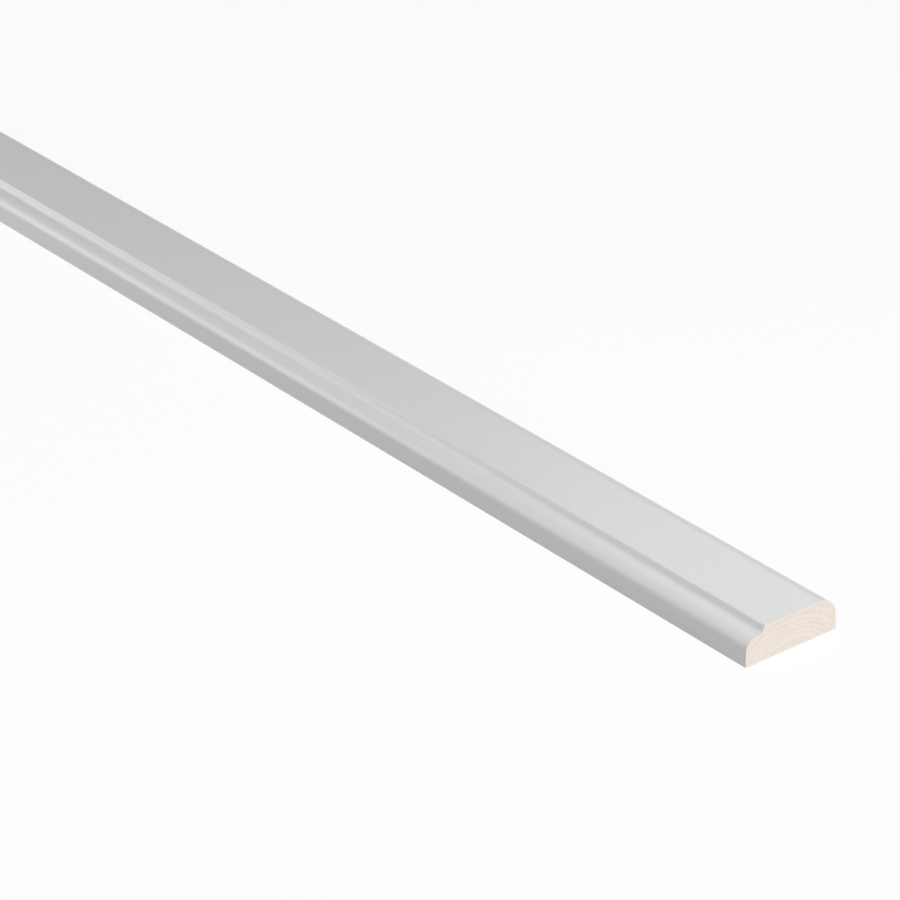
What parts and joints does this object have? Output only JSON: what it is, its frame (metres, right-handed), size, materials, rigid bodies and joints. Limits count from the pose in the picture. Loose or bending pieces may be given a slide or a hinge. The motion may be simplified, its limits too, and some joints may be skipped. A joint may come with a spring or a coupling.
{
  "type": "architrave moulding",
  "caption": "Straight length of primed softwood door trim with a quarter-round inner edge, a stepped ledge, a flat face and a rounded outer shoulder.",
  "frame": {"origin": "centre of the flat back face, which lies on the floor", "axes": "+X along the length, +Y across the width towards the outer edge, +Z out of the back face towards the moulded face"},
  "size_m": [2.4, 0.055, 0.018],
  "materials": {
    "primed_softwood": "white primer, satin, with bare sawn ends"
  },
  "bodies": {
    "root": {"architrave_moulding": "primed_softwood"}
  },
  "joints": []
}
